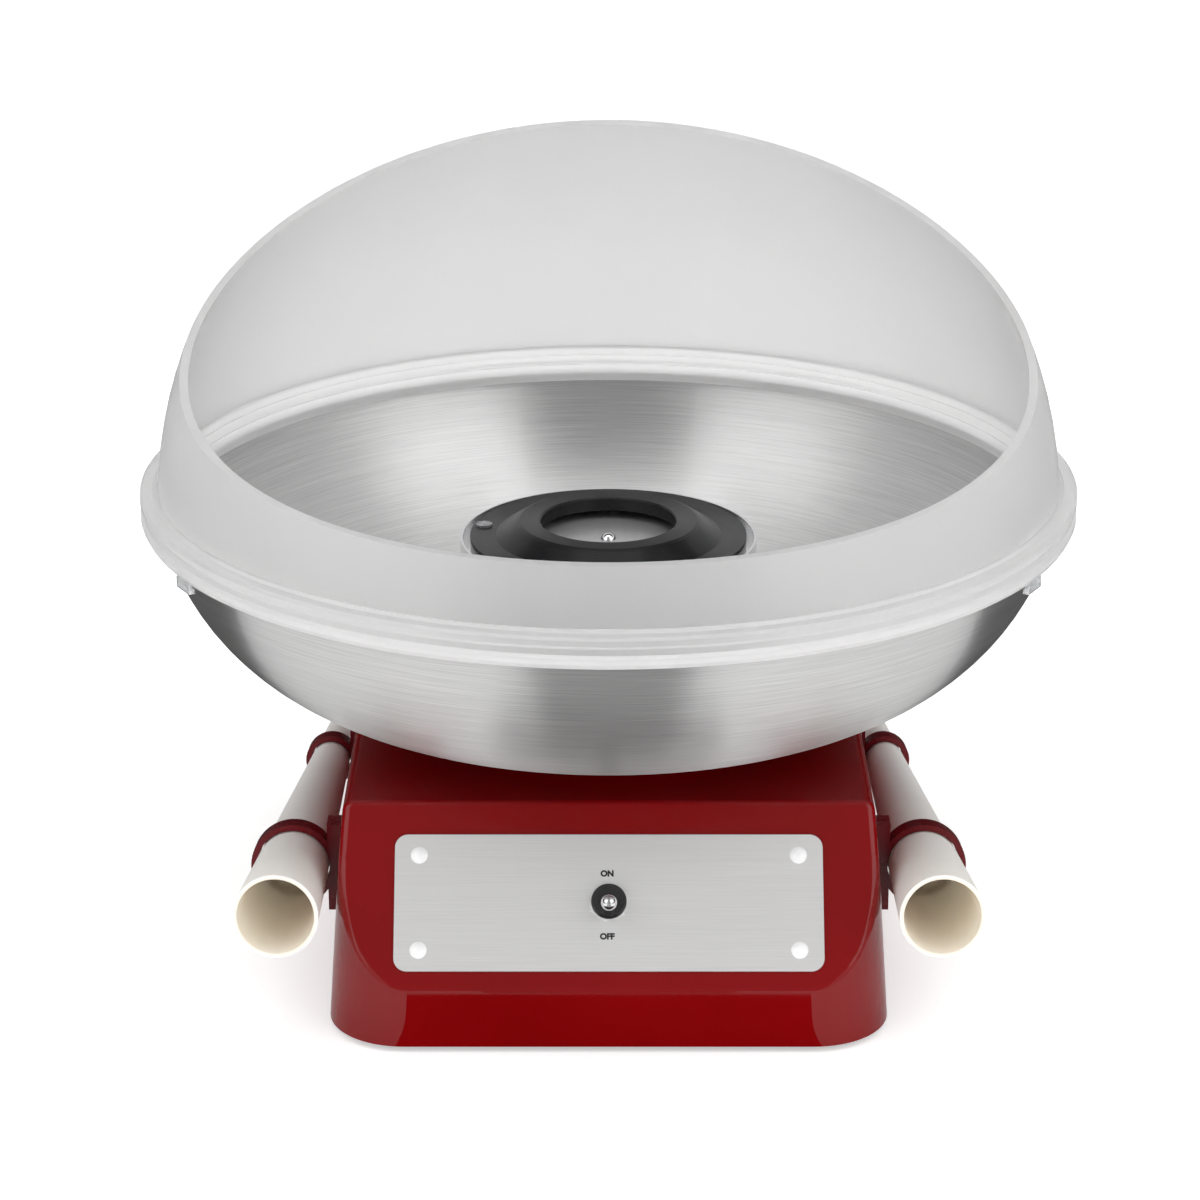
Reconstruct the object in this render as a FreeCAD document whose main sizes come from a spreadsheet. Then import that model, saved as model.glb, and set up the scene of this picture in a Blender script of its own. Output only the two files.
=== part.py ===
import FreeCAD, Part
import os
import re

import Sketcher

Vector = FreeCAD.Vector

# Driving sizes in millimetres and degrees. Heights are measured from the floor, the bowl's
# axis is the Z axis, and the front, with the control panel, faces -Y. Each piece is sized from
# the one that carries it, so a change moves what is built on it.
SIZES = {
    # base housing
    "baseHalfWidth": 86.2, "baseFront": 116.0, "baseRear": 104.0, "baseCorner": 24.0,
    "skirtLift": 2.0, "skirtHeight": 18.9, "panelRise": 46.7, "baseWall": 2.5,
    "draftAngle": 4.0, "panelAngle": 53.7, "panelEdge": 2.5, "roofEdge": 3.5,
    "seatWidth": 11.0, "seatHeight": 6.4,
    # floor of the base
    "coverThick": 2.0, "footRadius": 9.0, "footHeight": 5.0, "footPlug": 3.0, "footBevel": 0.8,
    "footInset": 22.2, "postRadius": 4.0, "postInset": 13.2, "postFrontInset": 48.0, "postRearInset": 62.0,
    "ventLength": 34.0, "ventWidth": 3.0, "ventPitch": 8.0, "ventInset": 44.0,
    # control plate and its rivets
    "plateWidth": 130.5, "plateHeight": 42.2, "plateThick": 0.8, "plateCorner": 4.0, "plateDrop": 2.67,
    "rivetInsetX": 7.45, "rivetInsetY": 6.45,
    "rivetHead": 2.6, "rivetDome": 0.9, "rivetShank": 1.2, "rivetLength": 5.0,
    # toggle switch
    "bushWall": 0.85, "bushStick": 4.2, "nutFlats": 10.6, "lockNutThick": 1.3, "nutAngle": 18.0,
    "ringNutRadius": 5.4, "ringNutThick": 1.7, "ringNutBevel": 0.6,
    "switchWidth": 13.0, "switchLength": 13.0, "switchDepth": 10.0, "switchWall": 1.2,
    "leverPivot": 1.5, "leverBall": 2.0, "leverGap": 0.15, "leverRod": 1.1, "leverTip": 2.45,
    "leverReach": 12.5, "leverTail": 3.6, "leverAngle": 12.0, "pivotPin": 0.5,
    # heater tower
    "towerRadius": 45.0, "towerWall": 2.0, "towerRise": 50.4, "towerLip": 6.0, "towerFloor": 2.5,
    "towerHole": 7.5, "towerScrewAngle": 45.0, "lugOut": 3.0, "lugWidth": 9.0, "lugHeight": 5.0, "lugGap": 2.0,
    "panGap": 2.0, "panThick": 1.2, "panRim": 3.6, "panHole": 9.0, "panDrop": 20.0,
    "elementInset": 8.0, "elementTube": 3.0, "legSpread": 8.0, "legRadius": 1.6, "legDrop": 12.0,
    "insulatorRadius": 3.2, "insulatorInset": 4.0, "insulatorAngle": 30.0,
    "fuseRadius": 2.2, "fuseLength": 12.0, "fuseY": 18.0,
    # motor and its supply
    "shaftRadius": 3.0, "isolatorHeight": 5.0, "isolatorRadius": 5.0, "mountThick": 2.0, "mountEdge": 1.0,
    "canRadius": 27.0, "canWall": 1.2, "endCapThick": 3.0, "bearingRadius": 6.0, "bearingLength": 5.0,
    "magnetThick": 7.25, "magnetEnd": 4.4, "armatureEnd": 6.4, "mountScrewOut": 7.0, "mountScrewLength": 9.5,
    "fanRadius": 22.0, "fanThick": 5.0, "fanHub": 6.0, "fanWeb": 1.2, "fanLift": 3.6,
    "terminalLength": 30.0, "terminalWidth": 12.0, "terminalHeight": 10.0, "terminalX": 45.0,
    "terminalInset": 32.0,
    # spinning head
    "dishGap": 3.6, "dishDepth": 9.6, "dishLip": 4.4, "cupGap": 5.0, "dishFlare": 3.0, "dishShelf": 6.7,
    "dishWall": 0.8, "hubRadius": 7.0, "hubDrop": 4.0, "hubWall": 1.8, "hubCap": 1.5,
    "screenThick": 0.6, "rimGap": 2.4, "skinThick": 1.2, "skinBevel": 0.5,
    "domeGap": 2.0, "domeSlope": 7.8, "domeRise": 6.0, "crownWidth": 6.8, "mouthDepth": 4.4,
    "wellGap": 5.5, "wellDrop": 6.8, "wellRise": 1.0, "wellEdge": 0.8,
    "capNutRadius": 2.45, "capNutHeight": 2.2, "capNutDome": 1.8, "capShank": 1.2,
    "pinRadius": 2.6, "pinStand": 0.7, "pinNeck": 1.2, "pinAngle": 169.0, "crossPin": 1.0,
    # bowl: its rim, then how far the low, knee and side points of its wall lie from rim and floor
    "bowlRim": 142.8, "bowlDepth": 63.4, "bowlWall": 0.8, "bowlFoot": 1.0, "collarHeight": 5.0,
    "lowOut": 22.0, "lowRise": 3.5, "lowAngle": 78.5, "kneeIn": 43.8, "kneeRise": 9.9, "kneeAngle": 67.0,
    "sideIn": 14.2, "sideRise": 31.9, "sideAngle": 44.0, "beadRadius": 1.0, "beadOut": 2.2,
    # shield: its opening's edge climbs from the front angle to the rear one
    "shieldOver": 0.9, "shieldWall": 2.5, "edgeFrontAngle": 11.36, "edgeSideAngle": 22.9, "edgeRearAngle": 44.94,
    "flangeGap": 1.2, "flangeWall": 1.8, "flangeRise": 10.2, "flangeHang": 0.1, "flangeStep": 0.8,
    "flangeLip": 1.5, "grooveLow": 3.1, "grooveBevel": 1.0, "grooveWide": 1.9,
    "innerLedge": 0.6, "ledgeHigh": 3.3, "spigotDrop": 1.5, "spigotWall": 1.8,
    "clipWidth": 9.0, "clipDrop": 3.4, "clipThick": 1.3, "clipNub": 0.7, "clipAngle": 30.0,
    # candy cones and their holders
    "coneMouth": 13.0, "coneTail": 4.8, "coneLength": 217.0, "coneWall": 1.3, "coneSetback": 1.0,
    "coneHigh": 9.7, "coneAngle": 7.18, "coneToeAngle": 1.31,
    "ringFrontInset": 55.0, "ringRearInset": 44.0, "ringWall": 2.0, "ringLength": 7.0,
    "armThick": 4.4, "armBite": 2.15, "armWidth": 8.0, "armFrontHigh": 29.0, "armRearHigh": 25.0,
    "pegRadius": 2.0, "pegPitch": 16.0, "pegLength": 6.0, "pushNutRadius": 4.5, "pushNutThick": 0.8,
    # screws and cord outlet
    "screwRadius": 1.5, "screwHead": 2.8, "screwHeadHigh": 2.0, "screwLength": 8.0,
    "glandRadius": 7.0, "glandFlange": 9.5, "glandBore": 3.4, "glandHigh": 24.0, "glandOut": 6.0, "glandIn": 8.0,
    # fits and gaps
    "runFit": 0.05, "slideGap": 0.3, "assemblyGap": 0.2, "liftGap": 0.8, "spinGap": 1.5, "edgeGap": 0.6,
}

# How many of each repeated feature there are.
screwCount = 4
ventCount = 6
bladeCount = 8
pinCount = 1
clipCount = 3
insulatorCount = 3

doc = FreeCAD.newDocument("FlossMachine")
sheet = doc.addObject("Spreadsheet::Sheet", "Sizes")
gauge = doc.addObject("Spreadsheet::Sheet", "Gauge")
for row, (alias, size) in enumerate(SIZES.items(), 1):
    sheet.set(f"A{row}", alias)
    sheet.set(f"B{row}", str(size))
    sheet.setAlias(f"B{row}", alias)
doc.recompute()

nodes = {}


def link(text):
    """Turn bare size names into references to the sheet."""
    return re.sub(r"[A-Za-z]\w*", lambda m: f"Sizes.{m.group(0)}" if m.group(0) in SIZES else m.group(0), text)


def number(text):
    """Present value of an expression, for starting a sketch close to its solution."""
    gauge.set("A1", "=" + link(text))
    gauge.recompute()
    value = gauge.get("A1")
    return float(getattr(value, "Value", value))


def bind(thing, **links):
    for name, text in links.items():
        thing.setExpression(name.replace("_", "."), link(text))
    return thing


def place(thing, x="0", y="0", z="0", turn=None, axis=(0, 0, 1)):
    if turn is not None:
        thing.Placement = FreeCAD.Placement(Vector(0, 0, 0), FreeCAD.Rotation(Vector(*axis), 1.0))
        thing.setExpression("Placement.Rotation.Angle", link(turn))
    return bind(thing, Placement_Base_x=x, Placement_Base_y=y, Placement_Base_z=z)


def cylinder(name, radius, length, x="0", y="0", z="0", turn=None, axis=(0, 0, 1)):
    rod = bind(doc.addObject("Part::Cylinder", name), Radius=radius, Height=length)
    return place(rod, x, y, z, turn, axis)


def block(name, length, width, height, x="0", y="0", z="0"):
    """Box centred on x and y that stands on z."""
    box = bind(doc.addObject("Part::Box", name), Length=length, Width=width, Height=height)
    return place(box, f"{x} - ({length}) / 2", f"{y} - ({width}) / 2", z)


def group(name, *parts):
    links = doc.addObject("Part::Compound", name)
    links.Links = list(parts)
    return links


def fuse(name, *parts):
    union = doc.addObject("Part::MultiFuse", name)
    union.Shapes = list(parts)
    return union


def cut(name, base, *tools):
    result = doc.addObject("Part::Cut", name)
    result.Base = base
    result.Tool = tools[0] if len(tools) == 1 else group(name + "Tools", *tools)
    return result


def common(name, base, tool):
    result = doc.addObject("Part::Common", name)
    result.Base = base
    result.Tool = tool
    return result


def node(name, thing):
    thing.Label = name
    nodes[name] = thing


def sketchOn(body, role, name):
    sketch = body.newObject("Sketcher::SketchObject", name)
    plane = [item for item in body.Origin.OriginFeatures if item.Role == role][0]
    sketch.AttachmentSupport = [(plane, "")]
    sketch.MapMode = "FlatFace"
    return sketch


def pin(sketch, geometry, point, x, y):
    """Hold one sketch point at bound distances from the origin."""
    for kind, text in (("DistanceX", x), ("DistanceY", y)):
        index = sketch.addConstraint(Sketcher.Constraint(kind, -1, 1, geometry, point, number(text)))
        sketch.setExpression(f"Constraints[{index}]", link(text))


def outline(sketch, points):
    """Closed outline of (x, y) points; (x, y, midX, midY) is reached by an arc through mid."""
    here = [Vector(number(point[0]), number(point[1]), 0) for point in points]
    edges = []
    for i, point in enumerate(points):
        if len(point) == 2:
            edges.append((sketch.addGeometry(Part.LineSegment(here[i - 1], here[i])), 1, 2))
            continue
        middle = Vector(number(point[2]), number(point[3]), 0)
        arc = sketch.addGeometry(Part.Arc(here[i - 1], middle, here[i]))
        mark = sketch.addGeometry(Part.Point(middle), True)
        sketch.addConstraint(Sketcher.Constraint("PointOnObject", mark, 1, arc))
        pin(sketch, mark, 1, point[2], point[3])
        one, two = sketch.getPoint(arc, 1), sketch.getPoint(arc, 2)
        ahead = one.distanceToPoint(here[i - 1]) < two.distanceToPoint(here[i - 1])
        edges.append((arc, 1, 2) if ahead else (arc, 2, 1))
    for i, point in enumerate(points):
        edge, _, end = edges[i]
        after, start, _ = edges[(i + 1) % len(points)]
        sketch.addConstraint(Sketcher.Constraint("Coincident", edge, end, after, start))
        pin(sketch, edge, end, point[0], point[1])


def turned(name, points):
    """Body of revolution about Z from (radius, height) points."""
    body = doc.addObject("PartDesign::Body", name)
    sketch = sketchOn(body, "XZ_Plane", name + "Profile")
    outline(sketch, points)
    spin = body.newObject("PartDesign::Revolution", name + "Turn")
    spin.Profile = sketch
    spin.ReferenceAxis = (sketch, ["V_Axis"])
    spin.Angle = 360
    return body


def ring(name, inner, outer, low, high):
    return turned(name, [(inner, low), (outer, low), (outer, high), (inner, high)])


def padded(name, points, length, role="XY_Plane", middle=False):
    """Straight pad of an outline drawn on one of the body's own planes."""
    body = doc.addObject("PartDesign::Body", name)
    sketch = sketchOn(body, role, name + "Outline")
    outline(sketch, points)
    pad = body.newObject("PartDesign::Pad", name + "Pad")
    pad.Profile = sketch
    pad.Midplane = middle
    return body, bind(pad, Length=length)


def capArc(low, radius, rise):
    """Last outline point of a round-topped piece: a spherical cap from its rim to the axis."""
    ball = f"((({radius}) ^ 2 + ({rise}) ^ 2) / 2 / ({rise}))"
    half = f"(asin(({radius}) / {ball}) / 2)"
    return "0", f"{low} + {rise}", f"{ball} * sin({half})", f"{low} + {rise} - {ball} * (1 - cos({half}))"


def rectangle(left, front, right, rear):
    return [(left, front), (right, front), (right, rear), (left, rear)]


def uprights(shape):
    """Names of the edges that run up the sides."""
    named = []
    for i, edge in enumerate(shape.Edges, 1):
        run = edge.Vertexes[-1].Point - edge.Vertexes[0].Point
        if run.Length > 0 and abs(run.z) > 0.9 * run.Length:
            named.append(f"Edge{i}")
    return named


def roundCorners(body, base, radius):
    doc.recompute()
    corners = body.newObject("PartDesign::Fillet", base.Name + "Corners")
    corners.Base = (base, uprights(body.Shape))
    bind(corners, Radius=radius)
    doc.recompute()


def circleSpots(radius, count, start="0"):
    """Centres of evenly spaced features on a circle, from a starting angle."""
    turns = [f"({start} + {360 * i / count})" for i in range(count)]
    return [(f"({radius}) * cos{turn}", f"({radius}) * sin{turn}") for turn in turns]


# Heights that several pieces share, as expressions over the sizes.
skirtTop = "(skirtLift + skirtHeight)"
skirtY = "(skirtHeight * tan(draftAngle) - baseFront)"
roofTop = f"({skirtTop} + panelRise)"
roofUnder = f"({roofTop} - baseWall)"
seatTop = f"({roofTop} + seatHeight)"
coverTop = "(footHeight + coverThick)"
plateRise = "(panelRise / sin(panelAngle) / 2 - plateDrop)"
towerUnder = f"({roofUnder} - towerFloor)"
towerTop = f"({roofTop} + towerRise)"
panFloor = f"({towerTop} - panDrop)"
mountTop = f"({towerUnder} - isolatorHeight)"
canTop = f"({mountTop} - mountThick)"
fanBottom = f"({coverTop} + fanLift)"
fanTop = f"({fanBottom} + fanThick)"
capBottom = f"({fanTop} + spinGap * 2)"
canBottom = f"({capBottom} + endCapThick)"
dishShoulder = f"({towerTop} + dishGap)"
dishBottom = f"({dishShoulder} - dishDepth)"
dishRim = f"({dishShoulder} + dishLip)"
screenTop = f"({dishRim} - edgeGap)"
flangeFace = f"({screenTop} + skinThick)"
domeTop = f"({screenTop} + domeRise)"
wellTop = f"({domeTop} - wellDrop)"
hubTop = f"({wellTop} - wellRise - wellEdge)"
boreTop = f"({hubTop} - hubCap)"
hubBottom = f"({dishBottom} - hubDrop)"
bowlBottom = f"({seatTop} + slideGap)"
bowlTop = f"({bowlBottom} + bowlDepth)"
beadTop = f"({bowlTop} - bowlWall / 2 + beadRadius)"
flangeTop = f"({bowlTop} + flangeRise)"
flangeBottom = f"({bowlTop} - flangeHang)"

# Radii that several pieces share.
bushBore = "(leverBall + leverGap)"
bushRadius = f"({bushBore} + bushWall)"
towerFlange = "(towerRadius + towerLip)"
towerScrewCircle = "(towerRadius + towerLip / 2)"
lugReach = "(towerRadius + lugOut)"
seatRadius = "(towerRadius + seatWidth)"
panRadius = "(towerRadius - towerWall - panGap)"
elementCircle = f"({panRadius} - elementInset)"
mountScrewCircle = "(canRadius + mountScrewOut)"
magnetInside = "(canRadius - canWall - runFit - magnetThick)"
armatureRadius = f"({magnetInside} - spinGap)"
dishCup = "(towerRadius - towerWall - cupGap)"
dishRadius = f"({dishCup} + dishFlare + dishShelf)"
coverFlange = f"({dishRadius} - dishWall - rimGap)"
pinCircle = f"({coverFlange} - screenThick - slideGap - pinRadius)"
domeFoot = f"({pinCircle} - pinRadius - domeGap)"
domeCrown = f"({domeFoot} - domeSlope)"
mouthRadius = f"({domeCrown} - crownWidth)"
wellRadius = f"({dishCup} - wellGap)"
crossPinLength = "((hubRadius - hubWall) * 2)"
bowlHole = f"({lugReach} + lugGap)"
bowlFlat = f"({seatRadius} + bowlFoot)"
shieldRadius = "(bowlRim + shieldOver)"
flangeRadius = "(bowlRim + beadOut + beadRadius + flangeGap + flangeWall)"


# The control panel's frame: u along X, v up the slope from the plate's centre, n outward.
def panelY(v, n):
    return f"({skirtY} + ({plateRise} + {v}) * cos(panelAngle) - ({n}) * sin(panelAngle))"


def panelZ(v, n):
    return f"({skirtTop} + ({plateRise} + {v}) * sin(panelAngle) + ({n}) * cos(panelAngle))"


def onPanel(thing, v="0", n="0", tilt="panelAngle"):
    """Carry a piece drawn flat, with z as the outward side, onto the panel."""
    return place(thing, "0", panelY(v, n), panelZ(v, n), tilt, (1, 0, 0))


def rivetSpots():
    x, y = "(plateWidth / 2 - rivetInsetX)", "(plateHeight / 2 - rivetInsetY)"
    return [(f"{x} * {a}", f"{y} * {b}") for a in (1, -1) for b in (1, -1)]


def wallX(z):
    """Half-width of the housing's outside at a height."""
    return f"(baseHalfWidth - ({z} - skirtLift) * tan(draftAngle))"


def coneRadius(along):
    return f"(coneMouth - (coneMouth - coneTail) * ({along}) / coneLength)"


coneFront = "(baseFront - coneSetback)"
coneZ = f"({skirtTop} + coneHigh)"
coneX = f"({wallX(coneZ)} + {coneRadius(coneFront)} + slideGap + ringWall + armThick - armBite)"
ringFrontY = "(ringFrontInset - baseFront)"
ringRearY = "(baseRear - ringRearInset)"


# The cones' axis: its distance from the middle and its height, at a distance along Y.
def coneAxisX(y):
    return f"({coneX} - ({y}) * tan(coneToeAngle))"


def coneAxisZ(y):
    return f"({coneZ} - ({y}) * tan(coneAngle))"


def mirroredSpots(x, front, rear):
    return [(f"{x} * {side}", y) for side in (1, -1) for y in (front, rear)]


footSpots = mirroredSpots("(baseHalfWidth - footInset)", "(footInset - baseFront)", "(baseRear - footInset)")
postSpots = mirroredSpots("(baseHalfWidth - postInset)", "(postFrontInset - baseFront)",
                          "(baseRear - postRearInset)")
towerSpots = circleSpots(towerScrewCircle, screwCount, "towerScrewAngle")
mountSpots = circleSpots(mountScrewCircle, screwCount)
pinSpots = circleSpots(pinCircle, pinCount, "pinAngle")
pegSpots = [(y, f"({coneAxisZ(y)} + pegPitch / 2 * {side})") for y in (ringFrontY, ringRearY) for side in (1, -1)]


def drill(name, spots, radius, length, low):
    """Upright cylinders at several spots, for cutting or for standing."""
    return [cylinder(f"{name}{i}", radius, length, x, y, low) for i, (x, y) in enumerate(spots)]


def housingBlock(name, inset):
    """Drafted block with rounded corners and the panel's slope, shrunk by an inset."""
    half = f"(baseHalfWidth - {inset})"
    sides = rectangle(f"0 - {half}", f"{inset} - baseFront", half, f"baseRear - {inset}")
    body, pad = padded(name, sides, f"{roofTop} - skirtLift - {inset}")
    bind(pad, TaperAngle="0 - draftAngle")
    roundCorners(body, pad, f"baseCorner - {inset}")
    footY = f"({skirtY} + {inset} / sin(panelAngle) - skirtHeight / tan(panelAngle))"
    topY = f"({footY} + {roofTop} / tan(panelAngle))"
    slope = sketchOn(body, "YZ_Plane", name + "Slope")
    outline(slope, [(footY, "0"), (topY, roofTop), (f"{topY} - baseFront * 2", roofTop),
                    (f"{footY} - baseFront", "0")])
    away = body.newObject("PartDesign::Pocket", name + "SlopeCut")
    away.Profile = slope
    away.Type = "ThroughAll"
    away.Midplane = True
    return place(body, z="skirtLift")


def softenHousing(solid):
    """Fillet the rim of the sloped panel and of the roof."""
    doc.recompute()
    panelOut = FreeCAD.Rotation(Vector(1, 0, 0), number("panelAngle")).multVec(Vector(0, 0, 1))
    sides = []
    for i, edge in enumerate(solid.Shape.Edges, 1):
        owners = [face for face in solid.Shape.Faces if any(edge.isSame(other) for other in face.Edges)]
        outward = [face.normalAt(0, 0) for face in owners]
        if any(out.distanceToPoint(panelOut) < 1e-3 for out in outward):
            sides.append((i, number("panelEdge"), number("panelEdge")))
        elif any(out.z > 0.999 for out in outward):
            sides.append((i, number("roofEdge"), number("roofEdge")))
    soft = doc.addObject("Part::Fillet", "HousingSoft")
    soft.Base = solid
    soft.Edges = sides
    return soft


def baseHousing(outer):
    inner = housingBlock("HousingInner", "baseWall")
    soft = softenHousing(outer)
    seat = cylinder("RoofSeat", seatRadius, f"{seatTop} - {roofUnder}", z=roofUnder)
    posts = group("Posts", *drill("Post", postSpots, "postRadius", f"{roofTop} - {coverTop}", coverTop))
    shell = fuse("HousingSolid", cut("HousingShell", soft, inner), common("PostsInside", posts, outer), seat)
    holes = [cylinder("TowerHole", "towerRadius + slideGap", roofTop, z=towerUnder)]
    holes += drill("PostBore", postSpots, "screwRadius + runFit", "screwLength", coverTop)
    holes += drill("SeatBore", towerSpots, "screwRadius + runFit", "screwLength - towerFloor", roofUnder)
    holes += [cylinder(f"PegHole{i}", "pegRadius + assemblyGap", "(baseHalfWidth + baseWall) * 2",
                       "0 - baseHalfWidth - baseWall", y, z, "90", (0, 1, 0))
              for i, (y, z) in enumerate(pegSpots)]
    holes.append(cylinder("GlandHole", "glandRadius + runFit", "glandIn * 2", "0", "baseRear + glandIn",
                          "skirtLift + glandHigh", "90", (1, 0, 0)))
    low, deep = "0 - baseWall * 2", "baseWall * 4"
    drilled = drill("RivetHole", rivetSpots(), "rivetShank + runFit", deep, low)
    drilled.append(cylinder("SwitchHole", f"{bushRadius} + assemblyGap", deep, z=low))
    holes.append(onPanel(group("PanelHoles", *drilled)))
    node("base_housing", cut("BaseHousing", shell, *holes))


def bottomCover():
    inset = "(baseWall + edgeGap)"
    half = f"(baseHalfWidth - {inset})"
    sides = rectangle(f"0 - {half}", f"{inset} - baseFront", half, f"baseRear - {inset}")
    body, pad = padded("CoverPlate", sides, "coverThick")
    roundCorners(body, pad, f"baseCorner - {inset}")
    slot = sketchOn(body, "XY_Plane", "VentSlot")
    rowLength = f"(ventPitch * {ventCount - 1})"
    left, front = f"(0 - {rowLength} / 2 - ventWidth / 2)", "(baseRear - ventInset - ventLength / 2)"
    outline(slot, rectangle(left, front, f"{left} + ventWidth", f"{front} + ventLength"))
    vent = body.newObject("PartDesign::Pocket", "Vent")
    vent.Profile = slot
    vent.Type = "ThroughAll"
    vent.Midplane = True
    row = body.newObject("PartDesign::LinearPattern", "VentRow")
    row.Originals = [vent]
    row.Direction = (slot, ["H_Axis"])
    row.Occurrences = ventCount
    bind(row, Length=rowLength)
    body.Tip = row
    place(body, z="footHeight")
    deep, low = "coverThick * 3", "footHeight - coverThick"
    holes = drill("CoverHole", postSpots, "screwRadius + assemblyGap", deep, low)
    holes += drill("PlugHole", footSpots, "footPlug + runFit", deep, low)
    node("bottom_cover", cut("BottomCover", body, *holes))


def rubberFeet():
    plugTop = f"({coverTop} + coverThick)"
    feet = []
    for i, (x, y) in enumerate(footSpots):
        foot = turned(f"Foot{i}", [
            ("0", "0"), ("footRadius - footBevel", "0"), ("footRadius", "footBevel"),
            ("footRadius", "footHeight"), ("footPlug", "footHeight"), ("footPlug", plugTop), ("0", plugTop)])
        feet.append(place(foot, x, y))
    node("rubber_feet", group("RubberFeet", *feet))


def screwSet(name, spots, under, length):
    """Pan-head screws that point up, with their heads hanging below a height."""
    screws = []
    for i, (x, y) in enumerate(spots):
        head = cylinder(f"{name}Head{i}", "screwHead", "screwHeadHigh", x, y, f"{under} - screwHeadHigh")
        shank = cylinder(f"{name}Shank{i}", "screwRadius", f"{length} - assemblyGap", x, y, under)
        screws.append(fuse(f"{name}{i}", head, shank))
    node(name, group(name + "Set", *screws))


def controlPlate():
    sides = rectangle("0 - plateWidth / 2", "0 - plateHeight / 2", "plateWidth / 2", "plateHeight / 2")
    body, pad = padded("PlateBlank", sides, "plateThick")
    roundCorners(body, pad, "plateCorner")
    deep, low = "plateThick * 3", "0 - plateThick"
    holes = drill("PlateHole", rivetSpots(), "rivetShank + runFit", deep, low)
    holes.append(cylinder("PlateSwitchHole", f"{bushRadius} + assemblyGap", deep, z=low))
    node("control_plate", onPanel(cut("ControlPlate", body, *holes)))


def platePins():
    pins = []
    for i, (x, y) in enumerate(rivetSpots()):
        rivet = turned(f"Rivet{i}", [
            ("0", "plateThick - rivetLength"), ("rivetShank", "plateThick - rivetLength"),
            ("rivetShank", "plateThick"), ("rivetHead", "plateThick"),
            capArc("plateThick", "rivetHead", "rivetDome")])
        pins.append(place(rivet, x, y))
    node("plate_pins", onPanel(group("PlatePins", *pins)))


def pivotRod(name, radius, length):
    """Rod along X on the toggle lever's pivot line."""
    return cylinder(name, radius, length, f"0 - ({length}) / 2", "0", "leverPivot", "90", (0, 1, 0))


def toggleSwitch():
    """Switch body behind the panel, with its threaded bush and two nuts through the plate."""
    boxTop = "(0 - baseWall - assemblyGap)"
    box = block("SwitchBox", "switchWidth", "switchLength", "switchDepth", z=f"{boxTop} - switchDepth")
    room = block("SwitchRoom", "switchWidth - switchWall * 2", "switchLength - switchWall * 2",
                 "switchDepth - switchWall * 2", z=f"{boxTop} - switchDepth + switchWall")
    hole = cylinder("SwitchTopHole", f"{bushRadius} + runFit", "switchWall * 3", z=f"{boxTop} - switchWall * 2")
    node("switch_body", onPanel(cut("SwitchBody", box, room, hole)))
    bush = ring("Bush", bushBore, bushRadius, f"{boxTop} - switchWall", "bushStick")
    crossHole = pivotRod("BushCrossHole", "pivotPin + runFit", f"{bushRadius} * 3")
    node("switch_bushing", onPanel(cut("BushDrilled", bush, crossHole)))
    pivot = pivotRod("PivotRod", "pivotPin", f"({bushRadius} * 2 - bushWall)")
    node("switch_pivot_pin", onPanel(group("PivotPin", pivot)))
    thread = f"{bushRadius} + runFit"
    hexagon = doc.addObject("Part::Prism", "LockNutBlank")
    hexagon.Polygon = 6
    bind(hexagon, Circumradius="nutFlats / 2 / cos(30)", Height="lockNutThick")
    place(hexagon, z="plateThick", turn="nutAngle")
    hole = cylinder("LockNutThread", thread, "lockNutThick * 3", z="plateThick - lockNutThick")
    node("switch_lock_nut", onPanel(cut("LockNut", hexagon, hole)))
    low, high = "(plateThick + lockNutThick)", "(plateThick + lockNutThick + ringNutThick)"
    dressNut = turned("RingNut", [
        (thread, low), ("ringNutRadius", low), ("ringNutRadius", f"{high} - ringNutBevel"),
        ("ringNutRadius - ringNutBevel", high), (thread, high)])
    node("switch_ring_nut", onPanel(dressNut))


def switchLever():
    """Bat lever, tipped down to its OFF side, with a cross hole for its pivot pin."""
    waist = "sqrt(leverBall ^ 2 - leverRod ^ 2)"
    neck = "(leverReach - leverTip - sqrt(leverTip ^ 2 - leverRod ^ 2))"
    bat = turned("Lever", [
        ("0", "0 - leverTail"), ("leverRod", "0 - leverTail"), ("leverRod", f"0 - {waist}"),
        ("leverRod", waist, "leverBall", "0"), ("leverRod", neck),
        ("0", "leverReach", "leverTip", "leverReach - leverTip")])
    crossHole = cylinder("LeverCrossHole", "pivotPin + runFit", "leverBall * 3", "0 - leverBall * 1.5",
                         turn="90", axis=(0, 1, 0))
    lever = cut("LeverDrilled", bat, crossHole)
    node("switch_lever", onPanel(lever, "0", "leverPivot", "panelAngle + leverAngle"))


def heaterHousing():
    inside = "towerRadius - towerWall"
    cup = turned("TowerCup", [
        ("towerHole", towerUnder), (towerFlange, towerUnder), (towerFlange, roofUnder),
        ("towerRadius", roofUnder), ("towerRadius", towerTop), (inside, towerTop),
        (inside, roofUnder), ("towerHole", roofUnder)])
    bar = block("LugBar", f"{lugReach} * 2", "lugWidth", "lugHeight", z=f"{towerTop} - lugHeight")
    room = cylinder("LugRoom", "towerRadius - towerWall / 2", "lugHeight * 3", z=f"{towerTop} - lugHeight * 2")
    deep, low = "towerFloor * 3", f"{towerUnder} - towerFloor"
    holes = drill("TowerFlangeHole", towerSpots, "screwRadius + runFit", deep, low)
    holes += drill("MotorHole", mountSpots, "screwRadius + runFit", deep, low)
    node("heater_housing", cut("HeaterHousing", fuse("TowerLugs", cup, cut("Lugs", bar, room)), *holes))


def elementLegs(name, radius, length, low):
    spots = [(f"legSpread * {side}", f"sqrt({elementCircle} ^ 2 - legSpread ^ 2)") for side in (1, -1)]
    return drill(name, spots, radius, length, low)


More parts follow.
